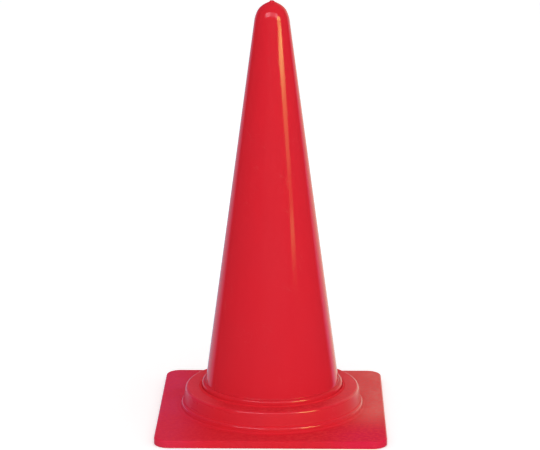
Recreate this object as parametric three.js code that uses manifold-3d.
// Traffic cone, 380 mm square base, 702 mm high. Two mouldings: a hollow tapered body with a foot ring,
// and a square base with a raised round ring. The body's foot ring stands on the shelf of the base, and
// the barbed fingers of its spigot catch under the shelf.
// Millimetres, +Z up. Origin: on the ground, on the axis of the cone.
// Profiles are lists of [radius, height].
import * as THREE from "three";
import { mergeVertices } from "three/addons/utils/BufferGeometryUtils.js";
import Module from "manifold-3d";

const wasm = await Module();
wasm.setup();

// ---- shared dimensions ----
const SEGMENTS = 80; // facets round the axis
const CLEARANCE = 0.3; // between the two mouldings
const EDGE_CHAMFER = 0.3;

// ---- body dimensions ----
const CONE_R0 = 120.1; // outer radius of the cone carried down to z = 0
const CONE_TAPER = 0.1362; // loss of radius per mm of height
const BODY_WALL = 2.2; // measured across the axis
const TAPER_STATION = 360; // extra ring of points on both faces of the wall

const TIP_START = 668; // the straight taper turns into the dome
const TIP_PROFILE = [ // outside of the dome, upwards
  [28.25, 673.2], [27.1, 677.2], [25.65, 681.2], [23.75, 685.2], [21.35, 688.8],
  [18.25, 691.9], [14.75, 694.6], [11.2, 696.7], [8.1, 698.2], [5.7, 699.3],
];
const TIP_INNER_START = TIP_START - 4;
const TIP_INNER_PROFILE = [ // inside of the dome, downwards
  [0, 696.2], [6.5, 695.4], [12.2, 692.6], [17.4, 688.4],
  [21.3, 683.2], [24.0, 677.2], [25.6, 670.6],
];
const STUB_R = 3.1; // moulding stub on the tip
const STUB_ROOT = [[4.05, 700.3], [3.3, 701.0]]; // from the dome into the stub
const TOTAL_HEIGHT = 702;

// foot ring, hollow underneath
const FOOT_R = 119.0; // its wall where the top edge starts to round
const FOOT_DRAFT = 0.2; // its wall widens by this much down to the shelf
const FOOT_TOP = 56.9;
const FOOT_EDGE_R = 5;
const FOOT_WALL = 2.4;
const FOOT_ROOF = FOOT_WALL + 0.2; // thickness over the hollow
const FOOT_FILLET_R = 0.8; // between the foot ring and the cone
const HOLLOW_CHAMFER = 1.7; // outer top corner of the hollow
const HOLLOW_INNER_DROP = 1; // height of the hollow's sloped inner top corner
const HOLLOW_GAP_LOW = 0.2; // from the cone's surface line to the foot of that corner
const HOLLOW_GAP_HIGH = 0.9; // and to its top

// spigot, slotted into snap fingers
const SPIGOT_R = 113.6;
const SPIGOT_BOTTOM = 34;
const SPIGOT_IN_R = 111.8; // bore, wide enough for the next cone of a stack
const FINGER_END_WALL = 1.1;
const BARB_R = 115.5;
const BARB_LAND = 1.2; // straight part of the barb above its lead-in slope
const FINGERS = 8;
const SLOT_WIDTH = 3;
const SLOT_TOP = 51;
const SLOT_CUT_LENGTH = 9; // radial length of the slot cutter
const SLOT_CUT_R = SPIGOT_R - 2; // radius of its middle
const SLOT_OVERCUT = 2; // its reach below the fingers

// ---- base dimensions ----
const BASE_SIDE = 380;
const CORNER_R = 25;
const PLATE_TOP = 12.4;
const PLATE_WALL = 2.4;
const RIM_WALL = 3.2;
const RIM_EDGE_R = 3;
const BLOCK_DEPTH = 4; // the plate block starts this far below ground and is trimmed
const CAVITY_OVERCUT = 6;
const TRIM_SIDE = 500;
const TRIM_HEIGHT = 40;
const OPENING_CUT_HEIGHT = 60; // centred on the ground

// step at the foot of the ring
const STEP_R = 154.05;
const STEP_TOP = 22.8;
const STEP_EDGE_R = 5;
const STEP_FOOT_DRAFT = 0.1; // the step's side widens by this much down to the plate
const STEP_FILLET_R = 3.5; // between the step and the plate
const STEP_LAP = 5; // ring profile's reach into the plate
const STEP_LAP_RECESS = 0.02; // keeps the lap just below the plate's top face
const STEP_LAP_DEPTH = 1.5; // lap below the plate's underside
const OPENING_R = STEP_R - 1.2; // opening in the plate, covered by the ring profile

// ring wall and shelf
const WALL_FILLET_R = 0.8; // between the ring wall and the step
const RING_FOOT_R = 150.4; // ring wall at the step
const RING_HEAD_R = 147.1; // ring wall where its top edge starts to round
const RING_WALL = 2.5;
const SHELF_TOP = 47;
const SHELF_EDGE_R = 5;
const SHELF_WALL = 2.5;
const HOLE_R = SPIGOT_R + CLEARANCE + 0.1; // opening in the shelf

// low rim that centres the foot ring on the shelf
const SEAT_RIM_TOP = 49.2;
const SEAT_RIM_WIDTH = 0.5;
const SEAT_FILLET_R = 2.2;
const SEAT_CHAMFER = 0.2;

// stacking lugs and ribs
const WELD = 0.6; // lugs and ribs run this far into the wall above them
const STACK_PITCH = 29.5;
const LUGS = 8;
const LUG_THICKNESS = 2.4;
const LUG_BOTTOM = SHELF_TOP - STACK_PITCH; // the next cone's lugs stand on this shelf
const LUG_TOP_R = 133; // inner edge of the lug, top and bottom
const LUG_BOTTOM_R = 135.5;
const LUG_WELD_FOOT = 1.3; // lug's reach into the ring wall, bottom and head
const LUG_WELD_HEAD = 0.5;
const LUG_TOP_INSET = 1; // lug's top outer corner, in from the ring wall
const RIB_THICKNESS = 2.2;
const RIB_BOTTOM = 2;
const RIB_SPREAD = 17; // degrees from a corner's middle rib to its neighbours
const RIB_IN_R = STEP_R - 1.3;
const RIB_SLOPE_R = STEP_R + 6; // outer end of the rib's sloped lower edge
const RIB_SLOPE_RISE = 7;
const RIB_SIDE_SETBACK = 1.2; // outer ribs stop this far short of the rim wall's middle

// ---- derived places ----
const shelfUnder = SHELF_TOP - SHELF_WALL;
const plateUnder = PLATE_TOP - PLATE_WALL;
const footOut = FOOT_R + FOOT_DRAFT;
const ringEdgeZ = SHELF_TOP - SHELF_EDGE_R; // the ring wall's top edge starts to round
const ringFootInR = RING_FOOT_R - RING_WALL;
const ringHeadInR = RING_HEAD_R - RING_WALL;
const coneR = (z) => CONE_R0 - CONE_TAPER * z;
const innerConeR = (z) => coneR(z) - BODY_WALL;

// ---- helpers ----
const { degToRad, radToDeg } = THREE.MathUtils;

// Profile points of an arc between two angles in degrees.
function arc(centreR, centreZ, radius, from, to, steps) {
  const points = [];
  for (let i = 0; i <= steps; i++) {
    const angle = degToRad(from + ((to - from) * i) / steps);
    points.push([centreR + radius * Math.cos(angle), centreZ + radius * Math.sin(angle)]);
  }
  return points;
}

// Profile points that round a corner between its two neighbours.
function fillet(before, corner, after, radius, steps) {
  const apex = new THREE.Vector2(...corner);
  const toBefore = new THREE.Vector2(...before).sub(apex).normalize();
  const toAfter = new THREE.Vector2(...after).sub(apex).normalize();
  const half = Math.acos(toBefore.dot(toAfter)) / 2;
  const centre = toBefore.clone().add(toAfter).normalize()
    .multiplyScalar(radius / Math.sin(half)).add(apex);
  const tangentAngle = (side) =>
    side.clone().multiplyScalar(radius / Math.tan(half)).add(apex).sub(centre).angle();
  const start = tangentAngle(toBefore);
  let sweep = tangentAngle(toAfter) - start;
  if (sweep > Math.PI) sweep -= 2 * Math.PI;
  if (sweep < -Math.PI) sweep += 2 * Math.PI;
  return arc(centre.x, centre.y, radius, radToDeg(start), radToDeg(start + sweep), steps);
}

const toVectors = (points) => points.map(([x, y]) => new THREE.Vector2(x, y));

// A closed three.js geometry as a solid with its faces pointing out.
function solid(geometry) {
  geometry.deleteAttribute("normal");
  geometry.deleteAttribute("uv");
  const merged = mergeVertices(geometry, 1e-4);
  const index = merged.index.array;
  const triangles = [];
  for (let i = 0; i < index.length; i += 3) {
    const [a, b, c] = index.subarray(i, i + 3);
    if (a !== b && b !== c && a !== c) triangles.push(a, b, c);
  }
  const make = () =>
    new wasm.Manifold(
      new wasm.Mesh({
        numProp: 3,
        vertProperties: new Float32Array(merged.attributes.position.array),
        triVerts: new Uint32Array(triangles),
      }),
    );
  const made = make();
  if (made.volume() >= 0) return made;
  for (let i = 0; i < triangles.length; i += 3)
    [triangles[i + 1], triangles[i + 2]] = [triangles[i + 2], triangles[i + 1]];
  return make();
}

// Solid of revolution about +Z.
function revolve(profile) {
  const geometry = new THREE.LatheGeometry(toVectors(profile), SEGMENTS);
  geometry.rotateX(Math.PI / 2);
  return solid(geometry);
}

function geometryOf(made) {
  const mesh = made.getMesh();
  const stride = mesh.numProp;
  const positions = new Float32Array(mesh.numVert * 3);
  for (let i = 0; i < mesh.numVert; i++)
    positions.set(mesh.vertProperties.subarray(i * stride, i * stride + 3), i * 3);
  const geometry = new THREE.BufferGeometry();
  geometry.setAttribute("position", new THREE.BufferAttribute(positions, 3));
  geometry.setIndex(new THREE.BufferAttribute(new Uint32Array(mesh.triVerts), 1));
  geometry.computeVertexNormals();
  return geometry;
}

// Square with rounded corners, centred on the axis.
function roundedSquare(side, radius) {
  const half = side / 2;
  const inset = half - radius;
  const corners = [ // centre x, y and start x, y of each corner arc
    [inset, -inset, inset, -half],
    [inset, inset, half, inset],
    [-inset, inset, -inset, half],
    [-inset, -inset, -half, -inset],
  ];
  const shape = new THREE.Shape();
  shape.moveTo(-inset, -half);
  corners.forEach(([centreX, centreY, startX, startY], i) => {
    shape.lineTo(startX, startY);
    shape.absarc(centreX, centreY, radius, ((i - 1) * Math.PI) / 2, (i * Math.PI) / 2, false);
  });
  return shape;
}

// A plate with the given profile, in the plane through the axis at an angle from +X.
function radialPlate(profile, thickness, angle) {
  const geometry = new THREE.ExtrudeGeometry(new THREE.Shape(toVectors(profile)), {
    depth: thickness,
    bevelEnabled: false,
    steps: 1,
  });
  geometry.translate(0, 0, -thickness / 2);
  geometry.rotateX(Math.PI / 2); // profile height becomes +Z
  geometry.rotateZ(angle);
  return solid(geometry);
}

// ---- cone body ----
function bodyOuterProfile() {
  const dome = new THREE.SplineCurve(
    toVectors([[coneR(TIP_START), TIP_START], ...TIP_PROFILE]),
  ).getPoints(12);
  const barbTop = shelfUnder - CLEARANCE;
  const footBottom = SHELF_TOP + CLEARANCE;
  const hollowTop = FOOT_TOP - FOOT_ROOF;
  const hollowSide = hollowTop - HOLLOW_INNER_DROP;
  const footEdgeStart = FOOT_R - FOOT_EDGE_R;
  return [
    // spigot: lead-in slope, barb and neck
    [SPIGOT_IN_R + FINGER_END_WALL, SPIGOT_BOTTOM],
    [BARB_R, barbTop - BARB_LAND],
    [BARB_R, barbTop],
    [SPIGOT_R, barbTop],
    [SPIGOT_R, footBottom],
    // hollow of the foot ring
    [coneR(hollowSide) + HOLLOW_GAP_LOW, hollowSide],
    [coneR(hollowTop) + HOLLOW_GAP_HIGH, hollowTop],
    [FOOT_R - FOOT_WALL - HOLLOW_CHAMFER, hollowTop],
    [FOOT_R - FOOT_WALL, hollowTop - HOLLOW_CHAMFER],
    // lower edge of the foot ring
    [footOut - FOOT_WALL, footBottom + EDGE_CHAMFER],
    [footOut - FOOT_WALL + EDGE_CHAMFER, footBottom],
    [footOut - EDGE_CHAMFER, footBottom],
    [footOut, footBottom + EDGE_CHAMFER],
    // rounded top edge, ledge and fillet into the cone
    ...arc(footEdgeStart, FOOT_TOP - FOOT_EDGE_R, FOOT_EDGE_R, 3, 90, 6),
    ...fillet(
      [footEdgeStart, FOOT_TOP],
      [coneR(FOOT_TOP), FOOT_TOP],
      [coneR(TAPER_STATION), TAPER_STATION],
      FOOT_FILLET_R,
      4,
    ),
    [coneR(TAPER_STATION), TAPER_STATION],
    // dome and moulding stub
    ...dome.map((point) => [point.x, point.y]),
    ...STUB_ROOT,
    [STUB_R, TOTAL_HEIGHT - EDGE_CHAMFER],
    [STUB_R - EDGE_CHAMFER, TOTAL_HEIGHT],
    [0, TOTAL_HEIGHT],
  ];
}

function coneBody() {
  const boreTop = (CONE_R0 - BODY_WALL - SPIGOT_IN_R) / CONE_TAPER;
  const inner = [
    ...TIP_INNER_PROFILE,
    [innerConeR(TIP_INNER_START), TIP_INNER_START],
    [innerConeR(TAPER_STATION), TAPER_STATION],
    [SPIGOT_IN_R, boreTop],
    [SPIGOT_IN_R, SPIGOT_BOTTOM],
  ];
  let made = revolve([...inner, ...bodyOuterProfile()]);

  // Slots that part the spigot into fingers.
  const slotHeight = SLOT_TOP - SPIGOT_BOTTOM + SLOT_OVERCUT;
  for (let i = 0; i < FINGERS; i++) {
    const slot = new THREE.BoxGeometry(SLOT_CUT_LENGTH, SLOT_WIDTH, slotHeight);
    slot.translate(SLOT_CUT_R, 0, SLOT_TOP - slotHeight / 2);
    slot.rotateZ(((i + 0.5) * 2 * Math.PI) / FINGERS);
    made = made.subtract(solid(slot));
  }
  return made;
}

// ---- base ----
// Square plate with its down-turned rim and round opening.
function plate() {
  const block = new THREE.ExtrudeGeometry(
    roundedSquare(BASE_SIDE - 2 * RIM_EDGE_R, CORNER_R - RIM_EDGE_R),
    {
      depth: PLATE_TOP + BLOCK_DEPTH - RIM_EDGE_R,
      bevelEnabled: true,
      bevelThickness: RIM_EDGE_R,
      bevelSize: RIM_EDGE_R,
      bevelSegments: 4,
      curveSegments: 10,
      steps: 1,
    },
  );
  block.translate(0, 0, -BLOCK_DEPTH);
  const belowGround = new THREE.BoxGeometry(TRIM_SIDE, TRIM_SIDE, TRIM_HEIGHT);
  belowGround.translate(0, 0, -TRIM_HEIGHT / 2);
  const cavity = new THREE.ExtrudeGeometry(
    roundedSquare(BASE_SIDE - 2 * RIM_WALL, CORNER_R - RIM_WALL),
    { depth: plateUnder + CAVITY_OVERCUT, bevelEnabled: false, curveSegments: 10 },
  );
  cavity.translate(0, 0, -CAVITY_OVERCUT);
  const opening = new THREE.CylinderGeometry(OPENING_R, OPENING_R, OPENING_CUT_HEIGHT, SEGMENTS);
  opening.rotateX(Math.PI / 2);
  return solid(block)
    .subtract(solid(belowGround))
    .subtract(solid(cavity))
    .subtract(solid(opening));
}

// Step, ring wall and shelf as one closed profile.
function ring() {
  const stepUnder = STEP_TOP - PLATE_WALL;
  const stepInR = STEP_R - PLATE_WALL;
  const seatIn = footOut + CLEARANCE;
  const rimOut = seatIn + SEAT_RIM_WIDTH;
  const lapBottom = plateUnder - STEP_LAP_DEPTH;
  const lapTop = PLATE_TOP - STEP_LAP_RECESS;
  const lapOuter = [STEP_R + STEP_LAP, lapTop];
  const shelfEdgeStart = RING_HEAD_R - SHELF_EDGE_R;
  // The wall's foot meets the step's rounded edge 60 degrees up the edge.
  const stepArc = arc(STEP_R - STEP_EDGE_R, STEP_TOP - STEP_EDGE_R, STEP_EDGE_R, 4, 60, 5);
  const stepEnd = stepArc.pop();
  const profile = [
    [stepInR, lapBottom],
    [STEP_R + STEP_LAP, lapBottom],
    lapOuter,
    ...fillet(
      lapOuter,
      [STEP_R + STEP_FOOT_DRAFT, lapTop],
      [STEP_R, STEP_TOP],
      STEP_FILLET_R,
      4,
    ),
    ...stepArc,
    ...fillet(
      stepEnd,
      [RING_FOOT_R - 0.04, STEP_TOP + 0.04], // just up the wall from its foot
      [RING_HEAD_R, ringEdgeZ],
      WALL_FILLET_R,
      3,
    ),
    ...arc(shelfEdgeStart, ringEdgeZ, SHELF_EDGE_R, 9, 90, 6),
    // seat rim
    ...fillet(
      [shelfEdgeStart, SHELF_TOP],
      [rimOut, SHELF_TOP],
      [rimOut, SEAT_RIM_TOP],
      SEAT_FILLET_R,
      3,
    ),
    [seatIn + SEAT_CHAMFER, SEAT_RIM_TOP],
    [seatIn, SEAT_RIM_TOP - SEAT_CHAMFER],
    [seatIn, SHELF_TOP],
    // edge of the hole
    [HOLE_R + EDGE_CHAMFER, SHELF_TOP],
    [HOLE_R, SHELF_TOP - EDGE_CHAMFER],
    [HOLE_R, shelfUnder + EDGE_CHAMFER],
    [HOLE_R + EDGE_CHAMFER, shelfUnder],
    // underside, with small offsets that ease its corners
    [shelfEdgeStart - 0.4, shelfUnder],
    [ringHeadInR, ringEdgeZ],
    [ringFootInR, stepUnder + 0.4],
    [RING_FOOT_R - 0.2, stepUnder + 0.2],
    [stepInR, stepUnder - 1.4],
  ];
  return revolve([...profile, profile[0]]);
}

// Stacking lugs in the corner of ring wall and shelf.
function lugs() {
  const profile = [
    [LUG_TOP_R, shelfUnder + WELD],
    [LUG_BOTTOM_R, LUG_BOTTOM],
    [ringFootInR + LUG_WELD_FOOT, LUG_BOTTOM],
    [ringHeadInR + LUG_WELD_HEAD, ringEdgeZ],
    [ringHeadInR - LUG_TOP_INSET, shelfUnder + WELD],
  ];
  return Array.from({ length: LUGS }, (_, i) =>
    radialPlate(profile, LUG_THICKNESS, (i * 2 * Math.PI) / LUGS),
  );
}

// Ribs under the plate, three to each corner.
function ribs() {
  const rimMiddle = BASE_SIDE / 2 - RIM_WALL / 2;
  const cornerReach = Math.SQRT2 * (rimMiddle - CORNER_R) + CORNER_R;
  const sideReach = rimMiddle / Math.cos(degToRad(45 - RIB_SPREAD)) - RIB_SIDE_SETBACK;
  const made = [];
  for (let corner = 0; corner < 4; corner++)
    for (const turn of [-RIB_SPREAD, 0, RIB_SPREAD]) {
      const outR = turn === 0 ? cornerReach : sideReach;
      const profile = [
        [RIB_IN_R, RIB_BOTTOM + RIB_SLOPE_RISE],
        [RIB_SLOPE_R, RIB_BOTTOM],
        [outR, RIB_BOTTOM],
        [outR, plateUnder + WELD],
        [RIB_IN_R, plateUnder + WELD],
      ];
      made.push(radialPlate(profile, RIB_THICKNESS, degToRad(45 + 90 * corner + turn)));
    }
  return made;
}

function base() {
  return [ring(), ...lugs(), ...ribs()].reduce((made, part) => made.add(part), plate());
}

// ---- scene graph ----
const redGloss = new THREE.MeshStandardMaterial({
  color: 0xd8262c,
  roughness: 0.2,
  metalness: 0,
});
const redGrained = new THREE.MeshStandardMaterial({
  color: 0xcf2a30,
  roughness: 0.42,
  metalness: 0,
});

function namedMesh(name, made, material) {
  const mesh = new THREE.Mesh(geometryOf(made), material);
  mesh.name = name;
  return mesh;
}

const cone = new THREE.Group();
cone.add(namedMesh("cone_body", coneBody(), redGloss));
cone.add(namedMesh("base", base(), redGrained));

export default cone;
